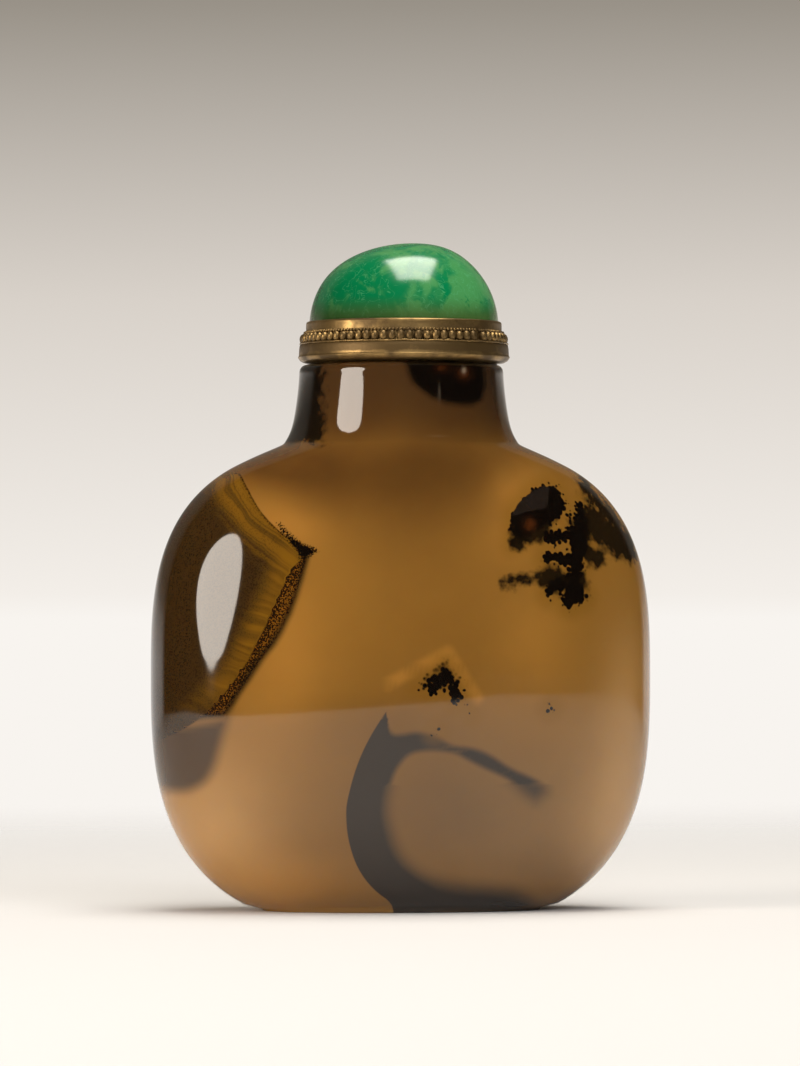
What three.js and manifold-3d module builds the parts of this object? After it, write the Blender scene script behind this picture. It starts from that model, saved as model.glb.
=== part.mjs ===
// Snuff bottle of carved and polished agate, with a jewelled stopper.
// Millimetres, +Z up. The foot stands on z = 0 with its centre at the origin.
// X runs along the bottle's width and Y along its depth; -Y is the front.

import * as THREE from "three";
import { mergeVertices } from "three/addons/utils/BufferGeometryUtils.js";
import Module from "manifold-3d";

// Body: a flattened flask, widest at its waist
const bodyWidth = 48;
const bodyDepth = 26.5;
const waistHeight = 22.4;
const shoulderRise = 22.6; // from the waist to where the shoulder's curve would close
const bellyOverrun = 1.9; // how far below the foot the belly's curve would close
const shoulderSquareness = 3; // 2 is an ellipse, more is squarer
const bellySquareness = 2.85;
const flankSquareness = 2.4; // of the same curves seen from the end
const ovalSquareness = 2.1; // of the body's level sections

// Foot: a low oval rim around a shallow recess
const footWidth = 27;
const footDepth = 14.2;
const footHeight = 0.6;
const footRimWidth = 1.9;
const footRecess = 0.5;
const footEdgeRounding = 0.2;

// Neck and lip
const neckHeight = 7.3; // from the close of the shoulder's curve to the lip
const neckRootWidth = 22.1;
const neckRootDepth = 21;
const neckRunIn = 4; // how far the neck's flare runs on below the close of the shoulder
const lipRadius = 9.7;
const lipRounding = 0.5;
const shoulderFillet = 6; // softening where the neck meets the shoulders
const frontFillet = 3; // softening where the neck meets the front and back

// Hollow
const wallThickness = 3;
const floorThickness = 4;
const shoulderThickness = 5; // from the cavity's top to the close of the shoulder's curve
const cavitySquareness = 2.8;
const boreRadius = 3.6;
const boreShift = 0.25; // the mouth is drilled a little to the right of the neck's axis
const mouthRounding = 0.3;
const boreFillet = 2;

// Stopper collar: a flange, a row of beads and a bezel cup, soldered together
const flangeOverhang = 0.48;
const flangeThickness = 2;
const flangeBulgeDepth = 0.28;
const beadCount = 72;
const beadRadius = 0.41;
const beadJoinRadius = 0.22;
const beadInset = 0.5; // from the flange's edge to the middle of the beads
const bezelInset = 0.78; // from the flange's edge to the bezel's outer face
const bezelHeight = 2.1; // above the flange
const bezelWall = 0.2;
const stoneSeatDepth = 1.3;

// Stopper stone: a cabochon, its top leaning slightly to the right
const stoneClearance = 0.08;
const domeHeight = 7.6; // above the bezel
const apexShift = 0.9;

// Stopper cork
const corkLength = 7;
const corkClearance = 0.1;
const corkTaper = 0.25;
const corkChamfer = 0.4;

// Facets
const bottleSegments = 48;
const bellySteps = 11;
const shoulderSteps = 11;
const neckSteps = 7;
const cavitySteps = 7;
const collarSegments = 60;
const flangeSteps = 4;
const beadSides = 6;
const stoneSegments = 40;
const stoneSteps = 7;
const corkSegments = 24;

// Heights that follow from the sizes above
const shoulderTop = waistHeight + shoulderRise;
const lipHeight = shoulderTop + neckHeight;
const bellyReach = waistHeight + bellyOverrun;
const cavityTop = shoulderTop - shoulderThickness;
const flangeRadius = lipRadius + flangeOverhang;
const flangeTop = lipHeight + flangeThickness;
const bezelRadius = flangeRadius - bezelInset;
const bezelTop = flangeTop + bezelHeight;
const stoneSeat = bezelTop - stoneSeatDepth;

const quarterTurn = Math.PI / 2;

// Share of the full width at a distance from the middle of a rounded bulge.
function bulge(distance, reach, squareness) {
  const share = Math.min(Math.abs(distance) / reach, 1);
  return (1 - share ** squareness) ** (1 / squareness);
}

// Distances from the bulge's middle, closer together where its curve is tight.
function bulgeSteps(reach, squareness, firstAngle, lastAngle, steps) {
  return Array.from({ length: steps + 1 }, (_, i) => {
    const angle = firstAngle + ((lastAngle - firstAngle) * i) / steps;
    return reach * Math.sin(angle) ** (2 / squareness);
  });
}

// The larger of two sizes, with a fillet where they are nearly equal.
function filletedMax(a, b, fillet) {
  const nearness = Math.max(0, 1 - Math.abs(a - b) / fillet);
  return Math.max(a, b) + (nearness ** 2 * fillet) / 4;
}

function signedPower(value, exponent) {
  return Math.sign(value) * Math.abs(value) ** exponent;
}

// A closed turned form whose level sections are pressed to superellipses.
function pressedSolid(sections, segments) {
  const outline = sections.map((section) => new THREE.Vector2(section.halfWidth, section.z));
  const geometry = new THREE.LatheGeometry(outline, segments);
  const position = geometry.getAttribute("position");
  for (let i = 0; i < position.count; i += 1) {
    const section = sections[i % sections.length];
    const column = Math.floor(i / sections.length) % segments;
    const angle = (column / segments) * 2 * Math.PI;
    const power = 2 / (section.squareness ?? 2);
    const x = (section.shift ?? 0) + section.halfWidth * signedPower(Math.sin(angle), power);
    const y = -section.halfDepth * signedPower(Math.cos(angle), power);
    position.setXYZ(i, x, y, section.z);
  }
  return geometry;
}

function roundSection(radius, z, shift = 0) {
  return { z, halfWidth: radius, halfDepth: radius, shift };
}

function turnedSolid(outline, segments) {
  return pressedSolid(
    outline.map(([radius, z]) => roundSection(radius, z)),
    segments
  );
}

// The bottle's outer section at a height from the foot's top to the lip.
function outerSection(z) {
  const upper = z > waistHeight;
  const reach = upper ? shoulderRise : bellyReach;
  const squareness = upper ? shoulderSquareness : bellySquareness;
  const width = (bodyWidth / 2) * bulge(z - waistHeight, reach, squareness);
  const depth = (bodyDepth / 2) * bulge(z - waistHeight, reach, flankSquareness);
  if (!upper) {
    return { z, halfWidth: width, halfDepth: depth, squareness: ovalSquareness };
  }
  const flare = THREE.MathUtils.smoothstep(lipHeight - z, 0, neckHeight + neckRunIn);
  const neckHalfWidth = lipRadius + (neckRootWidth / 2 - lipRadius) * flare;
  const neckHalfDepth = lipRadius + (neckRootDepth / 2 - lipRadius) * flare;
  const towardNeck = Math.min((z - waistHeight) / shoulderRise, 1);
  return {
    z,
    halfWidth: filletedMax(width, neckHalfWidth, shoulderFillet),
    halfDepth: filletedMax(depth, neckHalfDepth, frontFillet),
    squareness: ovalSquareness + (2 - ovalSquareness) * towardNeck ** 2,
  };
}

function footSections() {
  const ring = (inset, z) => ({
    z,
    halfWidth: footWidth / 2 - inset,
    halfDepth: footDepth / 2 - inset,
    squareness: ovalSquareness,
  });
  return [
    { z: footRecess, halfWidth: 0, halfDepth: 0 },
    ring(footRimWidth + footRecess, footRecess),
    ring(footRimWidth, 0),
    ring(footEdgeRounding, 0),
    ring(0, footEdgeRounding),
  ];
}

function bodySections() {
  const footShare = (waistHeight - footHeight) / bellyReach;
  const footAngle = Math.asin(footShare ** (bellySquareness / 2));
  const bellyDrops = bulgeSteps(bellyReach, bellySquareness, footAngle, 0, bellySteps);
  const shoulderAngle = Math.acos((neckRootWidth / bodyWidth) ** (shoulderSquareness / 2));
  const shoulderRises = bulgeSteps(
    shoulderRise, shoulderSquareness, 0, shoulderAngle, shoulderSteps
  ).slice(1);
  return [
    ...bellyDrops.map((drop) => outerSection(waistHeight - drop)),
    ...shoulderRises.map((rise) => outerSection(waistHeight + rise)),
  ];
}

function neckSections(start) {
  const end = lipHeight - lipRounding;
  const sections = [];
  for (let i = 1; i <= neckSteps; i += 1) {
    sections.push(outerSection(start + (end - start) * (i / neckSteps) ** 2));
  }
  const softened = lipRounding * (1 - Math.SQRT1_2);
  return [
    ...sections,
    roundSection(lipRadius - softened, lipHeight - softened),
    roundSection(lipRadius - lipRounding, lipHeight),
  ];
}

function cavitySection(z) {
  const reach = z > waistHeight ? cavityTop - waistHeight : waistHeight - floorThickness;
  const share = bulge(z - waistHeight, reach, cavitySquareness);
  const width = (bodyWidth / 2 - wallThickness) * share;
  const depth = (bodyDepth / 2 - wallThickness) * share;
  if (z < waistHeight) {
    return { z, halfWidth: width, halfDepth: depth, squareness: ovalSquareness };
  }
  return {
    z,
    halfWidth: filletedMax(width, boreRadius, boreFillet),
    halfDepth: filletedMax(depth, boreRadius, boreFillet),
    squareness: 2 + (ovalSquareness - 2) * share,
    shift: (boreShift * (z - waistHeight)) / (cavityTop - waistHeight),
  };
}

function hollowSections() {
  const innerHalfWidth = bodyWidth / 2 - wallThickness;
  const boreAngle = Math.acos((boreRadius / innerHalfWidth) ** (cavitySquareness / 2));
  const rises = bulgeSteps(
    cavityTop - waistHeight, cavitySquareness, boreAngle, 0, cavitySteps
  );
  const drops = bulgeSteps(
    waistHeight - floorThickness, cavitySquareness, 0, quarterTurn, cavitySteps
  ).slice(1, -1);
  return [
    roundSection(boreRadius + mouthRounding, lipHeight, boreShift),
    roundSection(boreRadius, lipHeight - mouthRounding, boreShift),
    roundSection(boreRadius, cavityTop + boreFillet, boreShift),
    ...rises.map((rise) => cavitySection(waistHeight + rise)),
    ...drops.map((drop) => cavitySection(waistHeight - drop)),
    { z: floorThickness, halfWidth: 0, halfDepth: 0 },
  ];
}

function bottleGeometry() {
  const body = bodySections();
  const neck = neckSections(body[body.length - 1].z);
  return pressedSolid([...footSections(), ...body, ...neck, ...hollowSections()], bottleSegments);
}

// Outline of the collar's flange, bezel and cup, from the axis back to the axis.
function collarOutline() {
  const flange = [];
  for (let i = 0; i <= flangeSteps; i += 1) {
    const rise = (2 * i) / flangeSteps - 1;
    const radius = flangeRadius - flangeBulgeDepth * rise ** 2;
    flange.push([radius, lipHeight + (flangeThickness * (1 + rise)) / 2]);
  }
  return [
    [0, lipHeight],
    ...flange,
    [bezelRadius, flangeTop],
    [bezelRadius, bezelTop],
    [bezelRadius - bezelWall, bezelTop],
    [bezelRadius - bezelWall, stoneSeat],
    [0, stoneSeat],
  ];
}

// A ring of touching beads: a torus that narrows between each bead and the next.
function beadRingGeometry() {
  const ringRadius = flangeRadius - beadInset;
  const steps = 2 * beadCount;
  const geometry = new THREE.TorusGeometry(ringRadius, beadRadius, beadSides, steps);
  const position = geometry.getAttribute("position");
  for (let i = 0; i < position.count; i += 1) {
    const step = i % (steps + 1);
    if (step % 2 === 1) {
      const angle = (step / steps) * 2 * Math.PI;
      const middle = new THREE.Vector3(Math.cos(angle), Math.sin(angle), 0).multiplyScalar(ringRadius);
      const point = new THREE.Vector3().fromBufferAttribute(position, i).sub(middle);
      point.multiplyScalar(beadJoinRadius / beadRadius).add(middle);
      position.setXYZ(i, point.x, point.y, point.z);
    }
  }
  return geometry.translate(0, 0, flangeTop + beadRadius);
}

const wasm = await Module();
wasm.setup();

// The same surface with only positions, shared corners merged and empty triangles dropped.
function weldedSurface(geometry) {
  const bare = geometry.clone();
  bare.deleteAttribute("normal");
  bare.deleteAttribute("uv");
  const welded = mergeVertices(bare);
  const corners = welded.index.array;
  const kept = [];
  for (let i = 0; i < corners.length; i += 3) {
    const [a, b, c] = corners.slice(i, i + 3);
    if (a !== b && b !== c && c !== a) {
      kept.push(a, b, c);
    }
  }
  welded.setIndex(kept);
  return welded;
}

function toManifold(geometry) {
  const welded = weldedSurface(geometry);
  return new wasm.Manifold(
    new wasm.Mesh({
      numProp: 3,
      vertProperties: new Float32Array(welded.getAttribute("position").array),
      triVerts: new Uint32Array(welded.index.array),
    })
  );
}

function fromManifold(manifold) {
  const mesh = manifold.getMesh();
  const geometry = new THREE.BufferGeometry();
  geometry.setAttribute("position", new THREE.BufferAttribute(mesh.vertProperties, mesh.numProp));
  geometry.setIndex(new THREE.BufferAttribute(mesh.triVerts, 1));
  return geometry;
}

function collarGeometry() {
  const cup = toManifold(turnedSolid(collarOutline(), collarSegments));
  return fromManifold(cup.add(toManifold(beadRingGeometry())));
}

function stoneGeometry() {
  const radius = bezelRadius - bezelWall - stoneClearance;
  const sections = [roundSection(0, stoneSeat), roundSection(radius, stoneSeat)];
  for (let i = 0; i <= stoneSteps; i += 1) {
    const angle = (quarterTurn * i) / stoneSteps;
    const rise = Math.sin(angle);
    sections.push(
      roundSection(radius * Math.cos(angle), bezelTop + domeHeight * rise, apexShift * rise ** 6)
    );
  }
  return weldedSurface(pressedSolid(sections, stoneSegments));
}

function corkGeometry() {
  const radius = boreRadius - corkClearance;
  const tipRadius = radius - corkTaper;
  const tip = lipHeight - corkLength;
  const outline = [
    [0, tip],
    [tipRadius - corkChamfer, tip],
    [tipRadius, tip + corkChamfer],
    [radius, lipHeight],
    [0, lipHeight],
  ];
  return turnedSolid(outline, corkSegments);
}

function piece(name, geometry, color, roughness, metalness) {
  const material = new THREE.MeshStandardMaterial({ color, roughness, metalness });
  const mesh = new THREE.Mesh(weldedSurface(geometry), material);
  mesh.name = name;
  return mesh;
}

const stopper = new THREE.Group();
stopper.position.x = boreShift;
stopper.add(
  piece("stopper_collar", collarGeometry(), "#8f6e3b", 0.35, 1),
  piece("stopper_cabochon", stoneGeometry(), "#2c8a55", 0.1, 0),
  piece("stopper_cork", corkGeometry(), "#a97c50", 0.8, 0)
);

const snuffBottle = new THREE.Group();
snuffBottle.add(piece("bottle", bottleGeometry(), "#875b20", 0.08, 0), stopper);

export default snuffBottle;
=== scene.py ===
"""A carved agate snuff bottle with a jewelled stopper, on a pale studio table."""

import math

import bpy
import numpy as np
from bpy.props import FloatProperty, FloatVectorProperty, IntProperty, PointerProperty
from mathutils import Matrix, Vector, noise


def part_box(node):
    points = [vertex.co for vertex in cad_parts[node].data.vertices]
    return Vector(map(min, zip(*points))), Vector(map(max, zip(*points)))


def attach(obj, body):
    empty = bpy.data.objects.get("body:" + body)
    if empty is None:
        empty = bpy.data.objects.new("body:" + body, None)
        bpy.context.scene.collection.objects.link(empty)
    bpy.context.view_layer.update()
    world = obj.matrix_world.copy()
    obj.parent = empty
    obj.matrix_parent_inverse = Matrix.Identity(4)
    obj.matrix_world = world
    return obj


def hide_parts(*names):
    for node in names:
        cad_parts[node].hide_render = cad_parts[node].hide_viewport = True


bl_info = {
    "name": "Agate Snuff Bottle",
    "version": (1, 0, 0),
    "blender": (4, 5, 0),
    "location": "3D View > Sidebar > Snuff Bottle",
    "description": "Finishes a carved agate snuff bottle with its jewelled stopper, and lights it",
    "category": "Add Mesh",
}

MM = 0.001

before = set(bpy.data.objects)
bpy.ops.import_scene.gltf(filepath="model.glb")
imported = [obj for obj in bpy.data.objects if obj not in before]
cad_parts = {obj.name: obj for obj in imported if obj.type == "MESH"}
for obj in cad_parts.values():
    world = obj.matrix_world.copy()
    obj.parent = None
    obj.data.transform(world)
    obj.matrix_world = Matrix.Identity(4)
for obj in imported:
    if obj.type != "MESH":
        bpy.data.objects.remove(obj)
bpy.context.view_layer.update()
bottle_low, bottle_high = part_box("bottle")
collar_low, collar_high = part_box("stopper_collar")
stone_low, stone_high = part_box("stopper_cabochon")
cork_low, cork_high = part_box("stopper_cork")
stopper_axis = (collar_low.x + collar_high.x) / 2


# Sizes and colours that a user may change


def linear_colour(code, alpha=1.0):
    """An sRGB hex code as linear red, green, blue and alpha."""
    channels = [int(code[i : i + 2], 16) / 255 for i in (1, 3, 5)]
    linear = [c / 12.92 if c <= 0.04045 else ((c + 0.055) / 1.055) ** 2.4 for c in channels]
    return (*linear, alpha)


def length(name, description, millimetres):
    return FloatProperty(
        name=name, description=description, default=millimetres * MM, unit="LENGTH", precision=5
    )


def ratio(name, description, default):
    return FloatProperty(name=name, description=description, default=default)


def colour(name, description, code):
    """A colour that a user can pick, with an sRGB hex code as its default."""
    default = linear_colour(code)
    return FloatVectorProperty(
        name=name, description=description, size=4, subtype="COLOR", min=0, max=1, default=default
    )


class BottleSettings(bpy.types.PropertyGroup):
    body_width: length("Body Width", "Width of the widest section", 48.26)
    waist: length("Waist Height", "Height of the widest section", 22.4)
    shoulder_rise: length("Shoulder Rise", "From the waist to the close of the shoulder", 22.6)
    belly_overrun: length("Belly Overrun", "How far below the foot the belly would close", 1.9)
    shoulder_squareness: ratio("Shoulder Squareness", "2 is an ellipse, more is squarer", 3.0)
    belly_squareness: ratio("Belly Squareness", "2 is an ellipse, more is squarer", 2.85)
    flank_squareness: ratio("Flank Squareness", "The same, seen from the end", 2.4)
    oval_squareness: ratio("Oval Squareness", "The same, of level sections", 2.1)
    foot_width: length("Foot Width", "Width of the foot's rim", 27)
    foot_depth: length("Foot Depth", "Depth of the foot's rim", 14.2)
    foot_height: length("Foot Height", "Height of the foot's edge", 0.6)
    foot_rim: length("Foot Rim", "Width of the rim that the bottle stands on", 1.9)
    foot_recess: length("Foot Recess", "Depth of the hollow inside the rim", 0.5)
    foot_rounding: length("Foot Rounding", "Rounding of the foot's edge", 0.2)
    neck_height: length("Neck Height", "From the close of the shoulder to the lip", 7.3)
    neck_root_width: length("Neck Root Width", "Width where the neck meets the shoulders", 21.9)
    neck_root_depth: length("Neck Root Depth", "Depth where the neck meets the faces", 21)
    neck_run_in: length("Neck Run-in", "How far the flare runs on below the neck", 4)
    lip_radius: length("Lip Radius", "Radius of the lip", 9.8)
    lip_rounding: length("Lip Rounding", "Rounding of the lip's edge", 0.7)
    shoulder_fillet: length("Shoulder Fillet", "Softening at the shoulders", 3.7)
    root_spread: length("Root Spread", "How far the neck's foot spreads over the shoulder", 0.5)
    front_fillet: length("Front Fillet", "Softening at the front and back", 3)
    wall: length("Wall", "Thickness of the wall at the waist", 3)
    floor: length("Floor", "Thickness of the floor", 4)
    shoulder_thickness: length("Shoulder Thickness", "Stone above the cavity", 5)
    cavity_squareness: ratio("Cavity Squareness", "2 is an ellipse, more is squarer", 2.8)
    bore: length("Bore Radius", "Radius of the drilled mouth", 3.6)
    mouth_rounding: length("Mouth Rounding", "Rounding of the mouth's edge", 0.3)
    bore_fillet: length("Bore Fillet", "Softening where the bore meets the cavity", 2)
    columns: IntProperty(name="Columns", description="Steps round the bottle", default=352)
    amber: colour("Amber", "The body of the stone", "#845c24")
    # Painted shade where less light comes through the thick stone
    depths: colour("Depths", "Where the stone is thick", "#4f3213")
    # Painted glow where light gathers in the stone; also the pale lines of the tent
    honey: colour("Honey", "Where light gathers in the stone", "#bd8438")
    # Painted glow and painted reflection where the stone looks paler, low down and at the right edge
    milk: colour("Milk", "Where the wall is thin", "#c79a62")
    iron: colour("Iron Stain", "The stained patch on the left", "#35230d")
    rust: colour("Rust", "The golden bands in the stained patch", "#6f4b10")
    smoke: colour("Smoke", "The curled shadow in the lower half", "#2a2119")
    moss: colour("Moss", "The black fern-like inclusions", "#0c0704")


class StopperSettings(bpy.types.PropertyGroup):
    flange_thickness: length("Flange Thickness", "Thickness of the flange", 2)
    bead_count: IntProperty(name="Beads", description="Beads in the large wire", default=72)
    bead_radius: length("Bead Radius", "Radius of a bead along the wire", 0.41)
    bead_height: length("Bead Height", "Half the height of a bead", 0.52)
    bead_inset: length("Bead Inset", "From the flange's edge to the beads", 0.55)
    bead_join: ratio("Bead Join", "Gap where the wire's ends meet, in beads", 0.7)
    wire_count: IntProperty(name="Wire Beads", description="Beads in the fine wire", default=168)
    wire_radius: length("Wire Radius", "Radius of the fine wire's beads", 0.17)
    bezel_inset: length("Bezel Inset", "From the flange's edge to the bezel", 0.78)
    bezel_wall: length("Bezel Wall", "Thickness of the bezel", 0.2)
    seat_depth: length("Seat Depth", "How deep the stone sits in the bezel", 1.3)
    stone_waist: length("Stone Waist", "How far the stone's widest line is below the bezel's top", 1)
    dome_squareness: ratio("Dome Squareness", "2 is an ellipse, more is squarer", 2.2)
    apex_shift: length("Apex Shift", "How far the stone's top leans to the right", 0.9)
    cork_taper: length("Cork Taper", "How much the cork narrows to its tip", 0.25)
    cork_chamfer: length("Cork Chamfer", "Chamfer of the cork's tip", 0.4)
    jade: colour("Jade", "The light ground of the green stone", "#458e51")
    emerald: colour("Emerald", "The deep clouds in the green stone", "#047946")
    gilding: colour("Gilding", "Where the gilding is whole", "#93774a")
    tarnish: colour("Tarnish", "Where the metal has darkened", "#584425")
    cork: colour("Cork", "The stopper's cork", "#a97c50")


class StudioSettings(bpy.types.PropertyGroup):
    camera_distance: length("Camera Distance", "From the bottle's axis to the camera", 600)
    camera_height: length("Camera Height", "Height of the camera above the table", 28)
    softbox_distance: length("Softbox Distance", "From the bottle to the side softbox", 600)


# Small helpers

SMOOTH = {"interpolation_type": "SMOOTHSTEP"}


def add_node(tree, kind, inputs=None, output=0, **settings):
    """Adds a node with its settings, socket values and links, and gives one of its outputs."""
    node = tree.nodes.new(kind)
    for name, value in settings.items():
        setattr(node, name, value)
    for name, value in (inputs or {}).items():
        if isinstance(value, bpy.types.NodeSocket):
            tree.links.new(value, node.inputs[name])
        else:
            node.inputs[name].default_value = value
    return node.outputs[output] if node.outputs else None


def new_material(name):
    """A material, its tree, and the place of each point on the piece."""
    material = bpy.data.materials.new(name)
    material.use_nodes = True
    tree = material.node_tree
    tree.nodes.clear()
    return material, tree, add_node(tree, "ShaderNodeTexCoord", output="Object")


def add_object(name, data):
    thing = bpy.data.objects.new(name, data)
    bpy.context.scene.collection.objects.link(thing)
    return thing


def finish_piece(piece, slot, *nodes):
    """The piece takes the place of CAD nodes, and rides where they ride."""
    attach(piece, "root")
    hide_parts(*nodes)


# Turned and pressed forms


def bulge(distance, reach, squareness):
    """Share of the full width at a distance from the middle of a rounded bulge."""
    share = min(abs(distance) / reach, 1)
    return (1 - share**squareness) ** (1 / squareness)


def bulge_steps(reach, squareness, first_angle, last_angle, steps):
    """Distances from a bulge's middle, closer together where its curve is tight."""
    angles = [first_angle + (last_angle - first_angle) * i / steps for i in range(steps + 1)]
    return [reach * math.sin(angle) ** (2 / squareness) for angle in angles]


def filleted_max(a, b, fillet):
    """The larger of two sizes, with a fillet where they are nearly equal."""
    nearness = max(0, 1 - abs(a - b) / fillet)
    return max(a, b) + nearness**2 * fillet / 4


def smooth_step(value, low, high):
    share = min(max((value - low) / (high - low), 0), 1)
    return share * share * (3 - 2 * share)


def section(z, half_width, half_depth, squareness=2.0, shift=0.0):
    return (z, half_width, half_depth, squareness, shift)


def round_section(radius, z, shift=0.0):
    return section(z, radius, radius, 2.0, shift)


def ring_points(level, columns):
    z, half_width, half_depth, squareness, shift = level
    angles = np.arange(columns) * 2 * math.pi / columns
    sine, cosine = np.sin(angles), np.cos(angles)
    power = 2 / squareness
    x = shift + half_width * np.sign(sine) * np.abs(sine) ** power
    y = -half_depth * np.sign(cosine) * np.abs(cosine) ** power
    return np.stack([x, y, np.full(columns, z)], axis=1)


def smooth_mesh(name, points, faces):
    mesh = bpy.data.meshes.new(name)
    mesh.from_pydata(points, [], faces)
    mesh.shade_smooth()
    return mesh


def pressed_mesh(name, sections, columns):
    """A closed turned form whose level sections are superellipses, from pole to pole."""
    rings = [ring_points(level, columns) for level in sections[1:-1]]
    first, last = sections[0], sections[-1]
    poles = [(first[4], 0, first[0]), (last[4], 0, last[0])]
    points = np.concatenate([*rings, poles])
    start_pole, end_pole = len(points) - 2, len(points) - 1
    top_ring = (len(rings) - 1) * columns
    faces = []
    for i in range(columns):
        j = (i + 1) % columns
        faces.append((start_pole, j, i))
        for row in range(0, top_ring, columns):
            faces.append((row + i, row + j, row + columns + j, row + columns + i))
        faces.append((end_pole, top_ring + i, top_ring + j))
    return smooth_mesh(name, points.tolist(), faces)


def turned_mesh(name, outline, columns, shift=0.0):
    return pressed_mesh(name, [round_section(radius, z, shift) for radius, z in outline], columns)


# Bottle


def outer_section(z, s):
    """The bottle's outer section at a height from the foot's top to the lip."""
    upper = z > s.waist
    reach = s.shoulder_rise if upper else s.waist + s.belly_overrun
    squareness = s.shoulder_squareness if upper else s.belly_squareness
    width = s.body_width / 2 * bulge(z - s.waist, reach, squareness)
    depth = (bottle_high.y - bottle_low.y) / 2 * bulge(z - s.waist, reach, s.flank_squareness)
    if not upper:
        return section(z, width, depth, s.oval_squareness)
    flare = smooth_step(bottle_high.z - z, 0, s.neck_height + s.neck_run_in)
    # The neck's foot spreads by root_spread where the shoulder closes, less above it, more below it,
    # and a third as much at the front and back
    growth, fade_height = 1.6, 0.65 * MM
    above_close = z - s.waist - s.shoulder_rise
    spread = (1 + growth) * s.root_spread / (1 + growth * math.exp(above_close / fade_height))
    neck_half_width = s.lip_radius + (s.neck_root_width / 2 - s.lip_radius) * flare + spread
    neck_half_depth = s.lip_radius + (s.neck_root_depth / 2 - s.lip_radius) * flare + spread / 3
    toward_neck = min((z - s.waist) / s.shoulder_rise, 1)
    return section(
        z,
        filleted_max(width, neck_half_width, s.shoulder_fillet),
        filleted_max(depth, neck_half_depth, s.front_fillet),
        s.oval_squareness + (2 - s.oval_squareness) * toward_neck**2,
    )


def foot_sections(s):
    def ring(inset, z):
        return section(z, s.foot_width / 2 - inset, s.foot_depth / 2 - inset, s.oval_squareness)

    rounding = [
        ring(s.foot_rounding * (1 - math.sin(angle)), s.foot_rounding * (1 - math.cos(angle)))
        for angle in (0, math.pi / 6, math.pi / 3, math.pi / 2)
    ]
    return [
        section(s.foot_recess, 0, 0),
        ring(s.foot_rim + 4 * s.foot_recess, s.foot_recess),
        ring(s.foot_rim + s.foot_recess, s.foot_recess),
        ring(s.foot_rim + s.foot_recess / 2, s.foot_recess / 2),
        ring(s.foot_rim, 0),
        *rounding,
    ]


def body_sections(s):
    belly_steps, shoulder_steps = 70, 74
    reach = s.waist + s.belly_overrun
    foot_angle = math.asin(((s.waist - s.foot_height) / reach) ** (s.belly_squareness / 2))
    drops = bulge_steps(reach, s.belly_squareness, foot_angle, 0, belly_steps)
    root = s.neck_root_width / s.body_width
    shoulder_angle = math.acos(root ** (s.shoulder_squareness / 2))
    rises = bulge_steps(s.shoulder_rise, s.shoulder_squareness, 0, shoulder_angle, shoulder_steps)[1:]
    heights = [s.waist - drop for drop in drops] + [s.waist + rise for rise in rises]
    return [outer_section(z, s) for z in heights]


def neck_sections(start, s):
    end = bottle_high.z - s.lip_rounding
    steps, crowding = 48, 1.5
    shares = [(i / steps) ** crowding for i in range(1, steps + 1)]
    sections = [outer_section(start + (end - start) * share, s) for share in shares]
    for angle in (math.pi / 8, math.pi / 4, 3 * math.pi / 8, math.pi / 2):
        radius = s.lip_radius - s.lip_rounding * (1 - math.cos(angle))
        sections.append(round_section(radius, end + s.lip_rounding * math.sin(angle)))
    return sections


def cavity_section(z, s):
    cavity_top = s.waist + s.shoulder_rise - s.shoulder_thickness
    reach = cavity_top - s.waist if z > s.waist else s.waist - s.floor
    share = bulge(z - s.waist, reach, s.cavity_squareness)
    width = ((bottle_high.x - bottle_low.x) / 2 - s.wall) * share
    depth = ((bottle_high.y - bottle_low.y) / 2 - s.wall) * share
    if z < s.waist:
        return section(z, width, depth, s.oval_squareness)
    return section(
        z,
        filleted_max(width, s.bore, s.bore_fillet),
        filleted_max(depth, s.bore, s.bore_fillet),
        2 + (s.oval_squareness - 2) * share,
        stopper_axis * (z - s.waist) / (cavity_top - s.waist),
    )


def hollow_sections(s):
    steps = 22
    cavity_top = s.waist + s.shoulder_rise - s.shoulder_thickness
    inner_half_width = (bottle_high.x - bottle_low.x) / 2 - s.wall
    bore_angle = math.acos((s.bore / inner_half_width) ** (s.cavity_squareness / 2))
    rises = bulge_steps(cavity_top - s.waist, s.cavity_squareness, bore_angle, 0, steps)
    drops = bulge_steps(s.waist - s.floor, s.cavity_squareness, 0, math.pi / 2, steps)[1:-1]
    return [
        round_section(s.bore + s.mouth_rounding, bottle_high.z, stopper_axis),
        round_section(s.bore, bottle_high.z - s.mouth_rounding, stopper_axis),
        round_section(s.bore, cavity_top + s.bore_fillet, stopper_axis),
        *[cavity_section(s.waist + rise, s) for rise in rises],
        *[cavity_section(s.waist - drop, s) for drop in drops],
        section(s.floor, 0, 0),
    ]


def bottle_mesh(s):
    body = body_sections(s)
    neck = neck_sections(body[-1][0], s)
    sections = [*foot_sections(s), *body, *neck, *hollow_sections(s)]
    return pressed_mesh("bottle_stone", sections, s.columns)


class SNUFF_OT_bottle(bpy.types.Operator):
    """Carves the bottle's fine surface and gives it its stone"""

    bl_idname = "snuff.bottle"
    bl_label = "Agate Bottle"

    def execute(self, context):
        settings = context.scene.snuff_bottle
        piece = add_object("bottle_stone", bottle_mesh(settings))
        mark_stone(piece.data, settings)
        piece.data.materials.append(polished_chalcedony(settings))
        finish_piece(piece, "agate", "bottle")
        return {"FINISHED"}


# Marks in the stone. Places are in millimetres: across the front, and up from the foot.


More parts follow.
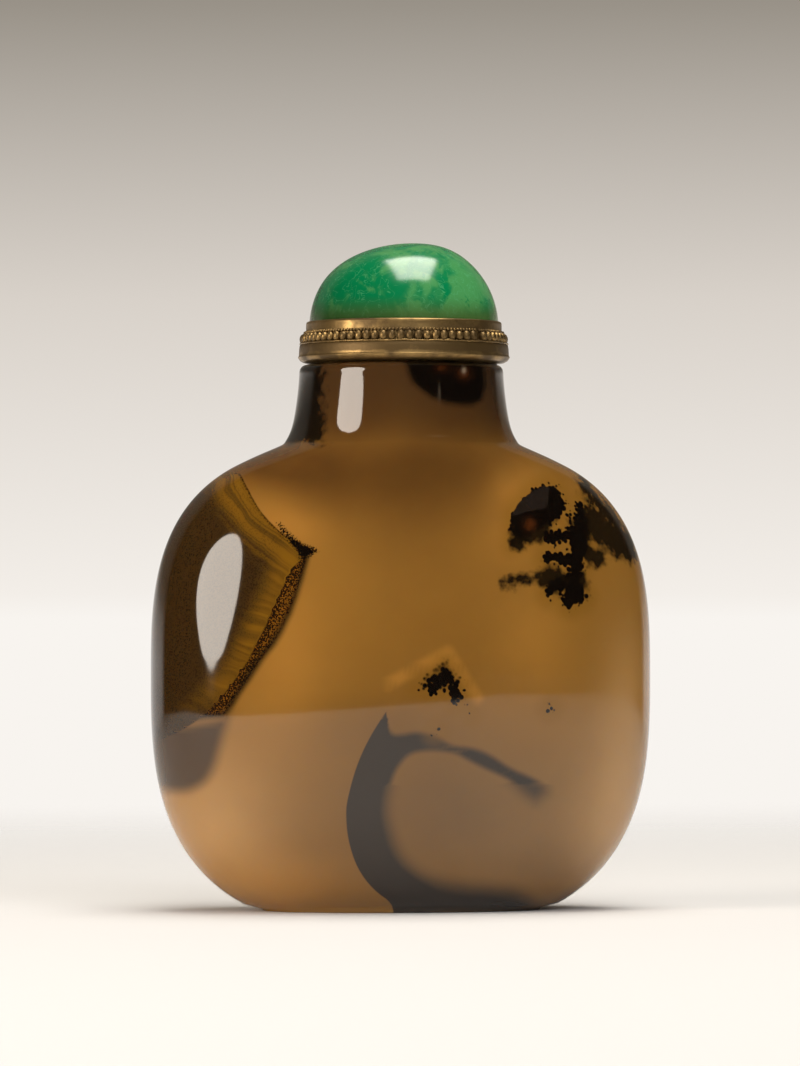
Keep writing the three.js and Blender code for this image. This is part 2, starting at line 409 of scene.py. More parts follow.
# Outlines of the marks
PATCH_TOP = [(-16.1, 41.7), (-15.4, 39.6), (-14.4, 37.7), (-13.2, 36.4), (-11.9, 35.3), (-10.1, 34.4)]
PATCH_SEAM = [
    (-10.6, 34.0), (-11.7, 32.9), (-12.5, 31.6), (-13.4, 29.5), (-14.4, 27.3), (-15.7, 24.5), (-17.0, 22.4),
]
PATCH_FOOT = [(-18.9, 19.8), (-20.6, 18.2), (-22.5, 16.9), (-25, 15.8)]
PATCH_FRINGE = [
    (-10.7, 32.4), (-11.2, 30.7), (-12.0, 28.4), (-13.2, 26.0), (-14.9, 23.9), (-16.2, 21.8), (-17.9, 18.7),
]
PATCH_CORNER = [
    (-13.0, 36.8), (-11.9, 35.6), (-10.9, 34.9), (-9.6, 34.3), (-10.7, 33.7), (-11.1, 33.6), (-11.3, 34.3),
    (-11.9, 35.0), (-12.9, 36.5),
]
PATCH_BEHIND = [(-26, 16.5), (-31, 17), (-35, 22), (-36.5, 28), (-34, 34), (-29, 39), (-22, 43.5)]
SHADE = [
    (-17.1, 19.2), (-17.9, 16.0), (-18.4, 13.8), (-19.2, 12.2), (-20.5, 11.3), (-22.0, 10.9), (-25, 11.5),
    (-29, 17),
]
CURL_EDGE = [(-3.3, 19.2), (-4.9, 16.7), (-6.1, 13.9), (-6.8, 10.9), (-6.9, 9.6), (-6.6, 7.1)]
CURL_HEEL = [(-5.6, 4.4), (-3.9, 2.3), (-1.8, 0.9), (-1.7, -0.6)]
CURL_INSIDE = [
    (13.5, -0.6), (10.8, 1.9), (7.6, 2.4), (3.9, 2.7), (0.5, 3.7), (-1.8, 5.6), (-3.0, 9.0), (-3.1, 10.9),
]
CURL_ARM = [
    (-2.6, 13.1), (-1.9, 14.4), (-0.9, 15.4), (1.0, 15.6), (3.2, 15.4), (4.6, 14.6), (6.2, 13.8),
    (8.8, 12.7), (9.9, 11.6), (11.3, 10.7),
]
CURL_BACK = [
    (12.3, 11.6), (12.1, 12.3), (10.5, 13.1), (8.7, 13.8), (6.8, 15.1), (5.0, 15.8), (3.0, 15.9),
    (2.1, 16.5), (1.3, 17.0), (-0.4, 17.3), (-1.9, 17.0), (-3.0, 17.1),
]
SHARD = [
    (9.0, 37.8), (9.8, 39.0), (10.9, 40.0), (12.7, 40.8), (13.8, 40.7), (14.3, 39.7), (14.7, 38.7),
    (14.5, 38.0), (13.4, 37.1), (12.1, 36.6), (11.2, 36.2), (10.5, 35.6), (9.4, 35.1), (8.8, 34.8),
]
SHARD_FACE = [
    (9.0, 37.6), (9.8, 38.9), (10.9, 39.8), (12.5, 40.6), (13.1, 40.4), (12.7, 38.5), (10.7, 38.1),
]
# Branches of the black growth: half their thickness, and the line that they follow
FERN = [
    (0.5, [(16.3, 38.7), (16.2, 37.2)]),
    (1.0, [(16.2, 37.0), (15.8, 36.0), (15.7, 34.6)]),
    (0.75, [(15.7, 34.6), (15.5, 33.1), (15.1, 31.9)]),
    (0.7, [(15.1, 31.9), (15.1, 30.7)]),
    (0.62, [(15.7, 36.2), (14.5, 35.8), (13.4, 35.6), (12.6, 35.6)]),
    (0.58, [(15.7, 33.9), (14.5, 33.5), (13.4, 33.7), (12.6, 33.8)]),
    (0.75, [(15.1, 30.8), (14.6, 29.6)]),
    (0.7, [(15.2, 30.8), (15.8, 30.0)]),
    (0.5, [(13.6, 31.5), (12.6, 30.3)]),
    (0.4, [(13.9, 31.2), (13.6, 30.4)]),
    (0.12, [(14.4, 38.4), (15.5, 36.9)]),
    (0.22, [(12.4, 19.3), (12.7, 19.5)]),
    (0.18, [(1.4, 17.2), (1.6, 17.4)]),
]
FERN_DEEP = [
    (1.4, [(16.4, 37.0), (17.4, 37.2), (18.1, 36.6), (19.1, 36.0), (20.3, 35.2), (21.2, 34.6)]),
    (0.9, [(15.9, 34.4), (16.7, 34.1), (17.6, 33.7)]),
    (0.8, [(17.0, 40.6), (17.6, 39.5), (18.6, 38.5), (19.8, 37.4), (21.1, 35.7)]),
    (1.2, [(15.2, 31.3), (13.8, 31.4), (12.6, 31.6)]),
    (0.55, [(11.6, 31.9), (9.8, 31.6), (8.4, 31.4)]),
    (1.0, [(9.6, 35.4), (12.5, 36.8)]),
]
TENT = [
    (2.4, 23.8), (-0.6, 21.5), (1.0, 20.7), (1.6, 21.0), (2.6, 21.3), (3.1, 19.8), (3.5, 20.1), (4.0, 19.8),
    (4.9, 19.0), (3.7, 20.7), (4.2, 21.5), (2.9, 23.2),
]
TENT_FOLD = [(-3.1, 21.8), (2.6, 24.8), (5.4, 20.4)]
MOUTH_STAIN = [
    (-1.0, 52.6), (-0.7, 51.1), (-0.3, 50.2), (0.5, 49.5), (1.5, 48.8), (2.9, 48.4), (4.4, 48.2),
    (5.7, 48.3), (6.6, 48.8), (7.0, 50.0), (6.9, 51.2), (6.6, 52.6),
]

# Soft masses of colour: across, up, half width, half height, strength
# Painted shade where less light comes through the thick stone, most under the neck
PAINTED_DEPTH_SHADE = [
    (-1, 42.5, 13, 5.5, 0.85), (0, 36, 9, 5, 0.25), (1, 25, 8, 5, 0.2), (-14.5, 42.8, 5.5, 2.6, 0.75),
    (9, 43.6, 4, 1.8, 0.2), (-9, 40.5, 4, 3, 0.25),
]
# Painted glow where light gathers in the stone
GLOWING = [
    (-12.0, 37.0, 3.4, 2.6, 0.45), (-12.5, 24, 3.5, 7, 0.3), (11, 25.3, 4, 6, 0.22),
    (9.2, 40.3, 3, 2.4, 0.6), (-14, 2.5, 7, 3, 0.4), (8.6, 36.5, 3, 3, 0.35),
]
# Painted glow and painted reflection: paler low down and at the right edge
PAINTED_PALE_LIGHT = [(-19.5, 7.5, 6.5, 7, 0.5), (20, 9, 4.5, 9, 0.65), (21, 22, 3, 6, 0.3), (9, 8, 11, 8, 0.25)]
# Darker smoke-coloured masses; the wide band over the neck is painted shade
DUSKY = [
    (3, 10, 15, 9.5, 0.55), (14, 4, 6, 3, 0.15), (0, 51, 40, 5, 0.45), (-6, 18, 9, 3, 0.15),
    (9.5, 50.5, 2.6, 4, 0.5),
]
RUST_SPOTS = [(2.6, 51.7, 0.6, 0.4, 0.5), (4.8, 51.2, 0.7, 0.5, 0.6), (10.8, 36.9, 0.5, 0.5, 0.9)]
# The chip at the lip, then a painted glint down the neck and a faint painted sheen line at its root
CHIP_AND_GLINTS = [(4.8, 51.5, 0.2, 0.25, 0.7), (2.25, 49.2, 0.09, 0.8, 0.16), (2.1, 45.2, 0.9, 0.1, 0.06)]


def smoothed(outline, rounds=2):
    """Cuts the corners of an open outline, and keeps its ends."""
    for _ in range(rounds):
        cuts = [outline[0]]
        for (ax, az), (bx, bz) in zip(outline, outline[1:]):
            cuts.append((0.75 * ax + 0.25 * bx, 0.75 * az + 0.25 * bz))
            cuts.append((0.25 * ax + 0.75 * bx, 0.25 * az + 0.75 * bz))
        outline = [*cuts, outline[-1]]
    return outline


def line_distance(x, z, outline):
    """Distance of each point from a run of straight steps."""
    nearest = np.full(len(x), 1e3)
    for (ax, az), (bx, bz) in zip(outline, outline[1:]):
        run_x, run_z = bx - ax, bz - az
        share = np.clip(((x - ax) * run_x + (z - az) * run_z) / (run_x**2 + run_z**2 + 1e-9), 0, 1)
        nearest = np.minimum(nearest, np.hypot(x - ax - share * run_x, z - az - share * run_z))
    return nearest


def area_depth(x, z, outline):
    """How deep each point lies inside a closed outline, and less than nothing outside it."""
    inside = np.zeros(len(x), bool)
    closed = [*outline, outline[0]]
    for (ax, az), (bx, bz) in zip(closed, closed[1:]):
        if az != bz:
            inside ^= ((az > z) != (bz > z)) & (x < ax + (z - az) * (bx - ax) / (bz - az))
    distance = line_distance(x, z, closed)
    return np.where(inside, distance, -distance)


def ramp(value, low, high):
    share = np.clip((value - low) / (high - low), 0, 1)
    return share * share * (3 - 2 * share)


def spots(x, z, *places):
    """Soft round places: across, up, half width, half height, strength."""
    total = np.zeros(len(x))
    for centre_x, centre_z, reach_x, reach_z, strength in places:
        total += strength * np.exp(-(((x - centre_x) / reach_x) ** 2) - ((z - centre_z) / reach_z) ** 2)
    return np.clip(total, 0, 1)


def stems(x, z, branches):
    """How deep each point lies inside a set of branches."""
    return np.max([girth - line_distance(x, z, branch) for girth, branch in branches], axis=0)


def patch_marks(around, z):
    """The stained patch, its bands, its seam, its corner and what lies below it."""
    top = smoothed(PATCH_TOP)
    seam = smoothed(PATCH_SEAM + PATCH_FOOT)
    fringe = smoothed([PATCH_TOP[-1], *PATCH_FRINGE])
    inner_seam = [(across - 2, up + 1.5) for across, up in seam[::-1]]
    patch = area_depth(around, z, [*top, *seam, *smoothed(PATCH_BEHIND, 3)])
    # Gold shows within about 2 mm of the seam and dies out toward the patch's foot
    return {
        "patch": patch,
        "band": line_distance(around, z, top) * np.where(patch > 0, 1, -1),
        "seam": line_distance(around, z, seam),
        "gold": ramp(line_distance(around, z, seam), 2.8, 0.6) * ramp(z, 18, 22),
        "corner": area_depth(around, z, PATCH_CORNER) + 0.1,
        "fringe": area_depth(around, z, [*fringe, *inner_seam]),
        "shade": ramp(area_depth(around, z, smoothed([*SHADE, SHADE[0]])), -0.3, 1.3),
    }


def curl_mark(x, z, back):
    """The smoky curl: crisp along its outer edge, softer inside it, and lost on the back."""
    edge = smoothed(CURL_EDGE + CURL_HEEL)
    inside, outside = smoothed(CURL_INSIDE + CURL_ARM), smoothed(CURL_BACK + [CURL_EDGE[0]])
    softness = 0.06 + 0.3 * np.clip(line_distance(x, z, edge) - 0.4, 0, 4)
    arm_height, arm_softness = 12.4, 0.4
    softness = np.where(z > arm_height, np.minimum(softness, arm_softness), softness) + 2.2 * back
    return area_depth(x, z, edge + inside + outside) / softness


def growth_marks(x, z, back):
    """The black growth near the surface, and the dimmer growth deeper in the stone, with the dark band on the
    neck's left side.
    """
    moss = np.maximum(np.maximum(stems(x, z, FERN), area_depth(x, z, SHARD)), area_depth(x, z, TENT))
    # The tent's top, the shard's lower left and the fern's right side are out of focus
    tent_blur = ramp(z, 21.4, 23.4)
    fern_blur = ramp(36.9 - z, 0, 1.5) * (x < 12) * (z > 34) + ramp(x, 16.0, 17.4)
    # A dark band takes the neck's left side, from 8.3 mm off the middle and 44.6 mm up
    neck_left_band = np.minimum(-8.3 - x, z - 44.6)
    deep = np.maximum(stems(x, z, FERN_DEEP), neck_left_band)
    deep = np.maximum(deep - 3 * back, moss - 0.6 - 2 * (1 - back))
    sunk = 6 * back
    return {
        "moss": moss - sunk,
        "moss_softness": 0.07 + 0.4 * np.where(x < 8, tent_blur, fern_blur),
        "deep": deep / (0.5 + 0.7 * back),
        "shard_face": area_depth(x, z, SHARD_FACE) - sunk,
        "tent": line_distance(x, z, TENT_FOLD) + sunk,
        "stain": area_depth(x, z, MOUTH_STAIN) - 20 * back,
    }


def stone_marks(x, y, z, s):
    """Every mark of the stone at each point of its surface, in millimetres or as a share."""
    # Most marks of the front are lost from 1 mm before the bottle's middle to 4 mm behind it
    back = ramp(y, -1, 4)
    # Round the left edge, a place on the back is counted on from the outline at its own height
    heights = np.arange(0, 61)
    half_widths = [outer_section(height * MM, s)[1] / MM for height in heights]
    around = np.where(y < 0, x, -2 * np.interp(z, heights, half_widths) - x)
    # Painted shade from the shoulders up to the neck, where less light comes through the thick stone
    neck = ramp(z, 38, 48)
    return {
        **patch_marks(around, z),
        **growth_marks(x, z, back),
        "curl": curl_mark(x, z, back),
        # Painted shade of thick stone, with more painted shade in the last 3 mm above the foot, where the
        # bottle meets the table
        "depths": np.maximum(spots(x, z, *PAINTED_DEPTH_SHADE), neck) + 0.15 * ramp(3.0 - z, 0, 2.6),
        "honey": spots(x, z, *GLOWING),
        "milk": spots(x, z, *PAINTED_PALE_LIGHT),
        "dusk": spots(x, z, *DUSKY),
        "rust_spot": spots(x, z, *RUST_SPOTS) * (1 - back),
        "scuff": spots(x, z, *CHIP_AND_GLINTS) * (1 - back),
    }


MARKS = (
    "depths", "honey", "milk", "dusk", "gold", "patch", "band", "seam", "fringe", "shade", "curl", "moss",
    "corner", "moss_softness", "shard_face", "deep", "tent", "stain", "rust_spot", "scuff",
)


def mark_stone(mesh, s):
    """Stores the marks on the mesh, for the stone's material."""
    count = len(mesh.vertices)
    points = np.empty(count * 3, np.float32)
    mesh.vertices.foreach_get("co", points)
    x, y, z = (points.reshape(count, 3) / MM).T
    for name, values in stone_marks(x, y, z, s).items():
        layer = mesh.attributes.new(name, "FLOAT", "POINT")
        layer.data.foreach_set("value", np.asarray(values, np.float32))


def grown_edge(tree, depth, wander, reach, softness):
    """Shows an inclusion where its depth, moved by a wandering noise, is more than nothing."""
    moved = add_node(tree, "ShaderNodeMath", {0: wander, 1: 2 * reach, 2: -reach}, operation="MULTIPLY_ADD")
    ragged = add_node(tree, "ShaderNodeMath", {0: depth, 1: moved}, operation="ADD")
    share = add_node(tree, "ShaderNodeMath", {0: ragged, 1: softness}, operation="DIVIDE")
    return add_node(
        tree, "ShaderNodeMapRange", {"Value": share, "From Min": -1.0, "From Max": 1.0}, **SMOOTH
    )


def laid_over(tree, ground, layers):
    """Lays colours over a ground, each with its mask."""
    for mask, tint in layers:
        ground = add_node(
            tree, "ShaderNodeMix", {"Factor": mask, 6: ground, 7: tint}, output=2, data_type="RGBA"
        )
    return ground


def stained_patch(tree, s, mark, clouds, grit):
    """The iron-stained patch: golden streaks along its top edge, and gold beside its seam."""
    along = add_node(tree, "ShaderNodeMath", {0: clouds, 1: 4.0, 2: mark["band"]}, operation="MULTIPLY_ADD")
    streaks = add_node(
        tree, "ShaderNodeTexNoise", {"W": along, "Scale": 1.3, "Detail": 2.0}, noise_dimensions="1D"
    )
    streak = add_node(
        tree, "ShaderNodeMapRange", {"Value": streaks, "From Min": 0.44, "From Max": 0.66, "To Max": 0.85},
        **SMOOTH,
    )
    near_top = add_node(
        tree, "ShaderNodeMapRange",
        {"Value": mark["band"], "From Min": 4.2, "From Max": 1.6, "To Max": 0.8}, **SMOOTH,
    )
    varied = add_node(
        tree, "ShaderNodeMapRange",
        {"Value": streaks, "From Min": 0.3, "From Max": 0.6, "To Min": 0.95, "To Max": 0.5},
    )
    gold = add_node(tree, "ShaderNodeMath", {0: mark["gold"], 1: varied}, operation="MULTIPLY")
    speckle = add_node(
        tree, "ShaderNodeMapRange", {"Value": grit, "From Min": 0.46, "From Max": 0.62, "To Max": 0.7}
    )
    clear = add_node(
        tree, "ShaderNodeMath", {0: near_top, 1: 0.5, 2: gold}, operation="MULTIPLY_ADD", use_clamp=True
    )
    off_gold = add_node(
        tree, "ShaderNodeMath", {0: speckle, 1: clear}, operation="SUBTRACT", use_clamp=True
    )
    from_top = add_node(tree, "ShaderNodeMath", {0: 0.12, 1: mark["band"]}, operation="SUBTRACT")
    rim = grown_edge(tree, from_top, grit, reach=0.22, softness=0.14)
    return laid_over(tree, s.iron, [
        (near_top, s.rust),
        (streak, s.iron),
        (gold, s.rust),
        (off_gold, linear_colour("#1d1207")),
        (rim, linear_colour("#241405")),
    ])


def grainy_fringe(tree, mark, grit):
    """Black grains in orange brown, thick at the seam, with a soft olive border away from it."""
    border = add_node(
        tree, "ShaderNodeMapRange",
        {"Value": mark["fringe"], "From Min": 0.9, "From Max": 0.2, "To Max": 0.92}, **SMOOTH,
    )
    ground = laid_over(tree, linear_colour("#6a410f"), [(border, linear_colour("#271b0b"))])
    reach = add_node(
        tree, "ShaderNodeMapRange", {"Value": mark["seam"], "From Max": 1.8, "To Min": 0.38, "To Max": 0.6}
    )
    grains = add_node(tree, "ShaderNodeMath", {0: grit, 1: reach}, operation="SUBTRACT")
    shown = add_node(
        tree, "ShaderNodeMapRange", {"Value": grains, "From Min": -0.03, "From Max": 0.04, "To Max": 0.95}
    )
    return laid_over(tree, ground, [(shown, linear_colour("#1a0d04"))])


def polished_chalcedony(s):
    """Chalcedony, ground and polished: a glassy gloss over a waxy body that light enters."""
    material, tree, place = new_material("polished_chalcedony")
    mark = {}
    for name in MARKS:
        mark[name] = add_node(tree, "ShaderNodeAttribute", output="Fac", attribute_name=name)
    # Clouding 9 mm across, ragged edges of 1 mm, grains of 0.15 mm and round lobes of about 0.5 mm
    clouds = add_node(tree, "ShaderNodeTexNoise", {"Vector": place, "Scale": 110, "Detail": 3})
    ragged = add_node(tree, "ShaderNodeTexNoise", {"Vector": place, "Scale": 1000, "Detail": 3})
    grit = add_node(tree, "ShaderNodeTexNoise", {"Vector": place, "Scale": 6800, "Detail": 1})
    cells = add_node(tree, "ShaderNodeTexVoronoi", {"Vector": place, "Scale": 2100})
    # Painted shade of thick stone, broken by clouding
    deep = add_node(tree, "ShaderNodeMath", {0: clouds, 1: 0.5, 2: -0.25}, operation="MULTIPLY_ADD")
    thick = add_node(tree, "ShaderNodeMath", {0: mark["depths"], 1: deep}, operation="ADD", use_clamp=True)
    fold = add_node(
        tree, "ShaderNodeMapRange",
        {"Value": mark["tent"], "From Min": 1.0, "From Max": 0.1, "To Max": 0.3}, **SMOOTH,
    )
    shadow = add_node(tree, "ShaderNodeMath", {0: mark["shade"], 1: 0.9}, operation="MULTIPLY")
    around_moss = add_node(
        tree, "ShaderNodeMapRange",
        {"Value": mark["moss"], "From Min": -1.8, "From Max": -0.1, "To Max": 0.4}, **SMOOTH,
    )
    # The dimmer growth, and the dark band on the neck's left side
    deep_edge = grown_edge(tree, mark["deep"], ragged, reach=2.4, softness=0.9)
    deep_growth = add_node(tree, "ShaderNodeMath", {0: deep_edge, 1: 0.96}, operation="MULTIPLY")
    rusty = add_node(tree, "ShaderNodeMath", {0: mark["rust_spot"], 1: ragged}, operation="MULTIPLY")
    fringe_edge = grown_edge(tree, mark["fringe"], clouds, reach=0.5, softness=0.4)
    fringe = grainy_fringe(tree, mark, grit)
    patch_edge = grown_edge(tree, mark["patch"], ragged, reach=0.06, softness=0.08)
    patch = stained_patch(tree, s, mark, clouds, grit)
    curl_edge = grown_edge(tree, mark["curl"], clouds, reach=0.1, softness=1.0)
    stain_edge = grown_edge(tree, mark["stain"], clouds, reach=0.8, softness=0.5)
    # A negative reach makes the growth swell where its cells are nearest, which gives it round lobes
    moss_edge = grown_edge(tree, mark["moss"], cells, reach=-0.46, softness=mark["moss_softness"])
    corner_edge = grown_edge(tree, mark["corner"], grit, reach=0.5, softness=0.16)
    shard_edge = grown_edge(tree, mark["shard_face"], ragged, reach=0.1, softness=0.06)
    base = laid_over(tree, s.amber, [
        # Painted glow where light gathers in the stone
        (mark["honey"], s.honey),
        # Painted glow and painted reflection, low down and at the right edge
        (mark["milk"], s.milk),
        # Painted shade of thick stone
        (thick, s.depths),
        # Darker smoke-coloured masses, with painted shade over the neck
        (mark["dusk"], s.smoke),
        (shadow, linear_colour("#2b1a0b")),
        (fringe_edge, fringe),
        (patch_edge, patch),
        (curl_edge, s.smoke),
        (fold, s.honey),
        (around_moss, s.rust),
        (deep_growth, linear_colour("#0d0905")),
        (stain_edge, s.moss),
        (moss_edge, s.moss),
        (corner_edge, s.moss),
        (shard_edge, linear_colour("#1f1813")),
        (rusty, linear_colour("#6a3512")),
        # The pale chip at the lip, and painted glints on the neck
        (mark["scuff"], linear_colour("#a4937c")),
    ])
    # Turning marks of 0.3 mm round the neck, which fray the edges of its reflections
    axes = add_node(tree, "ShaderNodeSeparateXYZ", {0: place}).node.outputs
    flattened = add_node(tree, "ShaderNodeVectorMath", {0: place, 1: (1, 1, 9)}, operation="MULTIPLY")
    turning = add_node(tree, "ShaderNodeTexNoise", {"Vector": flattened, "Scale": 420, "Detail": 2})
    on_neck = add_node(
        tree, "ShaderNodeMapRange",
        {"Value": axes["Z"], "From Min": 44 * MM, "From Max": 47 * MM, "To Max": 0.8},
    )
    frayed = add_node(
        tree, "ShaderNodeBump", {"Strength": on_neck, "Distance": 0.004 * MM, "Height": turning}
    )
    shader = add_node(
        tree, "ShaderNodeBsdfPrincipled",
        {
            "Base Color": base, "Roughness": 0.05, "IOR": 1.54, "Normal": frayed,
            "Subsurface Weight": 0.35, "Subsurface Radius": (1.0, 0.45, 0.16), "Subsurface Scale": 3 * MM,
        },
        subsurface_method="RANDOM_WALK",
    )
    add_node(tree, "ShaderNodeOutputMaterial", {"Surface": shader})
    return material


# Stopper


def collar_outline(s):
    """Flange, bezel and cup, from the axis round to the axis."""
    radius = (collar_high.x - collar_low.x) / 2
    bezel = radius - s.bezel_inset
    low, top = collar_low.z, collar_low.z + s.flange_thickness
    high, seat = collar_high.z, collar_high.z - s.seat_depth
    # In millimetres: in from the flange's edge and up from its foot, then in and down at the bezel's lip
    flange = [
        (1.25, 0), (1.2, 0.14), (0.9, 0.17), (0.5, 0.22), (0.2, 0.4), (0.04, 0.62), (0, 0.7), (0.01, 0.76),
        (0.06, 0.8), (0.08, 0.9), (0.1, 1.2), (0.12, 1.55), (0.16, 1.8), (0.24, 1.95), (0.36, 2.0),
    ]
    lip = [(0, 0.3), (0.01, 0.14), (0.06, 0.03), (0.15, -0.02), (0.24, 0), (0.29, 0.05), (0.29, 0.12)]
    softening, lip_depth = 0.02 * MM, 0.3 * MM
    return [
        (0, low),
        *[(radius - inset * MM, low + rise * MM) for inset, rise in flange],
        (bezel + softening, top),
        (bezel, top + softening),
        *[(bezel - inset * MM, high - drop * MM) for inset, drop in lip],
        (bezel - s.bezel_wall, high - lip_depth),
        (bezel - s.bezel_wall, seat),
        (0, seat),
    ]


def new_tree(name, **labels):
    """A geometry node tree with named inputs of each kind, and the sockets that they come from."""
    tree = bpy.data.node_groups.new(name, "GeometryNodeTree")
    for kind, names in labels.items():
        for label in names:
            tree.interface.new_socket(label, in_out="INPUT", socket_type="NodeSocket" + kind)
    tree.interface.new_socket("Geometry", in_out="OUTPUT", socket_type="NodeSocketGeometry")
    return tree, add_node(tree, "NodeGroupInput").node.outputs


def close_tree(tree, geometry, material):
    """Makes the tree's result real, gives it its material and ends the tree."""
    real = add_node(tree, "GeometryNodeRealizeInstances", {"Geometry": geometry})
    dressed = add_node(tree, "GeometryNodeSetMaterial", {"Geometry": real, "Material": material})
    add_node(tree, "NodeGroupOutput", {"Geometry": dressed})
    return tree


def grow(name, tree, values):
    """Runs a tree with its inputs set, and gives its result as a plain mesh object."""
    seed = add_object(name, bpy.data.meshes.new(name + "_seed"))
    modifier = seed.modifiers.new("grow", "NODES")
    modifier.node_group = tree
    for item in tree.interface.items_tree:
        if item.in_out == "INPUT":
            modifier[item.identifier] = values[item.name]
    evaluated = seed.evaluated_get(bpy.context.evaluated_depsgraph_get())
    mesh = bpy.data.meshes.new_from_object(evaluated)
    seed.modifiers.remove(modifier)
    seed.data = mesh
    mesh.name = name
    mesh.shade_smooth()
    return seed


def bead_tree():
    """Beads on a level ring, each a little different, with a gap where the wire's ends meet."""
    tree, given = new_tree(
        "beaded_wire",
        Int=("Count", "Segments", "Seed"),
        Float=("Ring Radius", "Height", "Axis", "Bead Radius", "Bead Height", "Join", "Join Angle", "Wobble"),
        Material=("Material",),
    )
    places = add_node(tree, "ShaderNodeMath", {0: given["Count"], 1: given["Join"]}, operation="ADD")
    step = add_node(tree, "ShaderNodeMath", {0: 2 * math.pi, 1: places}, operation="DIVIDE")
    half_join = add_node(
        tree, "ShaderNodeMath", {0: given["Join"], 1: 0.5, 2: 0.5}, operation="MULTIPLY_ADD"
    )
    index = add_node(tree, "GeometryNodeInputIndex")
    order = add_node(tree, "ShaderNodeMath", {0: index, 1: half_join}, operation="ADD")
    angle = add_node(
        tree, "ShaderNodeMath", {0: order, 1: step, 2: given["Join Angle"]}, operation="MULTIPLY_ADD"
    )
    sine = add_node(tree, "ShaderNodeMath", {0: angle}, operation="SINE")
    cosine = add_node(tree, "ShaderNodeMath", {0: angle}, operation="COSINE")
    across = add_node(
        tree, "ShaderNodeMath", {0: sine, 1: given["Ring Radius"], 2: given["Axis"]},
        operation="MULTIPLY_ADD",
    )
    toward = add_node(tree, "ShaderNodeMath", {0: cosine, 1: given["Ring Radius"]}, operation="MULTIPLY")
    back = add_node(tree, "ShaderNodeMath", {0: toward, 1: -1.0}, operation="MULTIPLY")
    spot = add_node(tree, "ShaderNodeCombineXYZ", {"X": across, "Y": back, "Z": given["Height"]})
    low = add_node(tree, "ShaderNodeMath", {0: 1.0, 1: given["Wobble"]}, operation="SUBTRACT")
    high = add_node(tree, "ShaderNodeMath", {0: given["Wobble"], 1: 0.5, 2: 1.0}, operation="MULTIPLY_ADD")
    varied = add_node(
        tree, "FunctionNodeRandomValue", {0: low, 1: high, "Seed": given["Seed"]}, data_type="FLOAT_VECTOR"
    )
    size = add_node(
        tree, "ShaderNodeCombineXYZ",
        {"X": given["Bead Radius"], "Y": given["Bead Radius"], "Z": given["Bead Height"]},
    )
    scale = add_node(tree, "ShaderNodeVectorMath", {0: size, 1: varied}, operation="MULTIPLY")
    # Three rings for each five segments keep the bead's faces nearly square
    rings = add_node(tree, "ShaderNodeMath", {0: given["Segments"], 1: 0.6}, operation="MULTIPLY")
    bead = add_node(
        tree, "GeometryNodeMeshUVSphere", {"Segments": given["Segments"], "Rings": rings, "Radius": 1.0}
    )
    points = add_node(tree, "GeometryNodePoints", {"Count": given["Count"], "Position": spot})
    beads = add_node(
        tree, "GeometryNodeInstanceOnPoints", {"Points": points, "Instance": bead, "Scale": scale}
    )
    return close_tree(tree, beads, given["Material"])


def dome_tree():
    """A cabochon: a squared dome that leans to one side at its top, on a shallow base."""
    tree, given = new_tree(
        "cabochon",
        Float=("Radius", "Dome", "Base", "Waist Height", "Axis", "Lean", "Squareness"),
        Material=("Material",),
    )
    ball = add_node(tree, "GeometryNodeMeshUVSphere", {"Segments": 160, "Rings": 120, "Radius": 1.0})
    position = add_node(tree, "GeometryNodeInputPosition")
    at = add_node(tree, "ShaderNodeSeparateXYZ", {0: position}).node.outputs
    level = add_node(tree, "ShaderNodeCombineXYZ", {"X": at["X"], "Y": at["Y"]})
    girth = add_node(tree, "ShaderNodeVectorMath", {0: level}, output="Value", operation="LENGTH")
    above_zero = add_node(tree, "ShaderNodeMath", {0: girth, 1: 0.0001}, operation="MAXIMUM")
    power = add_node(tree, "ShaderNodeMath", {0: 2.0, 1: given["Squareness"]}, operation="DIVIDE")
    less_one = add_node(tree, "ShaderNodeMath", {0: power, 1: 1.0}, operation="SUBTRACT")
    squared = add_node(tree, "ShaderNodeMath", {0: above_zero, 1: less_one}, operation="POWER")
    reach = add_node(tree, "ShaderNodeMath", {0: squared, 1: given["Radius"]}, operation="MULTIPLY")
    rise = add_node(tree, "ShaderNodeMath", {0: at["Z"], 1: 0.0}, operation="MAXIMUM")
    squared_rise = add_node(tree, "ShaderNodeMath", {0: rise, 1: power}, operation="POWER")
    drop = add_node(tree, "ShaderNodeMath", {0: at["Z"], 1: 0.0}, operation="MINIMUM")
    lifted = add_node(
        tree, "ShaderNodeMath", {0: squared_rise, 1: given["Dome"], 2: given["Waist Height"]},
        operation="MULTIPLY_ADD",
    )
    height = add_node(
        tree, "ShaderNodeMath", {0: drop, 1: given["Base"], 2: lifted}, operation="MULTIPLY_ADD"
    )
    # The lean gathers at the top, as the sixth power of the rise
    steep = add_node(tree, "ShaderNodeMath", {0: squared_rise, 1: 6.0}, operation="POWER")
    lean = add_node(
        tree, "ShaderNodeMath", {0: steep, 1: given["Lean"], 2: given["Axis"]}, operation="MULTIPLY_ADD"
    )
    across = add_node(tree, "ShaderNodeMath", {0: at["X"], 1: reach, 2: lean}, operation="MULTIPLY_ADD")
    deep = add_node(tree, "ShaderNodeMath", {0: at["Y"], 1: reach}, operation="MULTIPLY")
    spot = add_node(tree, "ShaderNodeCombineXYZ", {"X": across, "Y": deep, "Z": height})
    shaped = add_node(tree, "GeometryNodeSetPosition", {"Geometry": ball, "Position": spot})
    return close_tree(tree, shaped, given["Material"])


